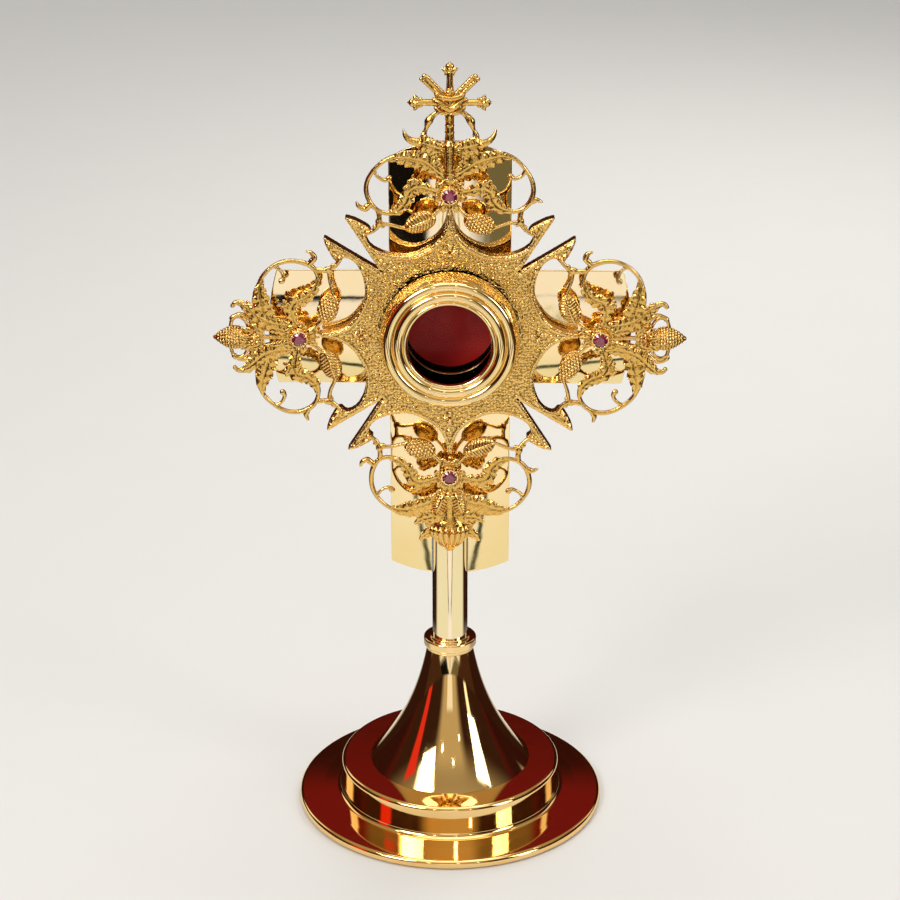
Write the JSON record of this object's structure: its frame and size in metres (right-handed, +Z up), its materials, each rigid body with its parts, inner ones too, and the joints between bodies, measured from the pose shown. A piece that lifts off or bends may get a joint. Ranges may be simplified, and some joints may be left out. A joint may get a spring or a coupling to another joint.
{
  "type": "monstrance",
  "caption": "Standing altar monstrance: round foot, plain stem, cross-shaped head with vine openwork, garnets and a round glazed capsule with a hinged back door.",
  "frame": {"origin": "centre of the foot on the plane it rests on", "axes": "+Z up the stem, +X to the viewer's right of the glazed front, +Y towards the back, so the glazed front faces -Y"},
  "size_m": [0.1884, 0.1288, 0.3275],
  "materials": {
    "polished_gilt": "mirror-polished gold plate",
    "grained_gilt": "grained gold plate, fine pebble texture",
    "steel": "bright zinc-plated steel",
    "ballast": "cast, painted dark grey",
    "cover_sheet": "plain sheet",
    "red_felt": "wool felt",
    "red_velvet": "silk velvet",
    "garnet": "faceted garnet",
    "clear_glass": "clear polished glass"
  },
  "bodies": {
    "frame": {"foot_shell": "polished_gilt", "trumpet_cone": "polished_gilt", "foot_weight": "ballast", "base_cover": "cover_sheet", "base_felt": "red_felt", "tie_rod": "steel", "tie_nut": "steel", "tie_washer": "steel", "stem_collar": "polished_gilt", "stem_tube": "polished_gilt", "stem_cap": "polished_gilt", "head_bracket": "polished_gilt", "bracket_screws": "steel", "back_plate_top": "polished_gilt", "back_plate_bottom": "polished_gilt", "back_plate_left": "polished_gilt", "back_plate_right": "polished_gilt", "capsule_drum": "polished_gilt", "star_plate": "grained_gilt", "vine_casting_top": "grained_gilt", "vine_casting_left": "grained_gilt", "vine_casting_right": "grained_gilt", "vine_casting_bottom": "grained_gilt", "finial_cross": "grained_gilt", "bud_finial_left": "grained_gilt", "bud_finial_right": "grained_gilt", "stem_calyx": "grained_gilt", "gem_collets": "polished_gilt", "garnets": "garnet", "casting_posts": "polished_gilt", "post_screws": "steel", "lens_rim": "polished_gilt", "front_glass": "clear_glass", "glass_retainer": "polished_gilt", "luna_ring_front": "polished_gilt", "luna_ring_back": "polished_gilt", "luna_glasses": "clear_glass", "hinge_pin": "steel", "latch_screw": "steel"},
    "door": {"door_plate": "polished_gilt", "door_pad": "red_velvet", "door_knob": "polished_gilt"},
    "latch": {"latch_button": "polished_gilt"}
  },
  "joints": [
    {"name": "back_door", "type": "hinge", "parent": "frame", "child": "door", "pos_m": [0.0276, 0.0102, 0.214], "axis": [0, 0, -1], "range_deg": [0, 110]},
    {"name": "latch_turn", "type": "hinge", "parent": "frame", "child": "latch", "pos_m": [-0.0296, 0.0124, 0.214], "axis": [0, 1, 0], "range_deg": [0, 90]}
  ]
}
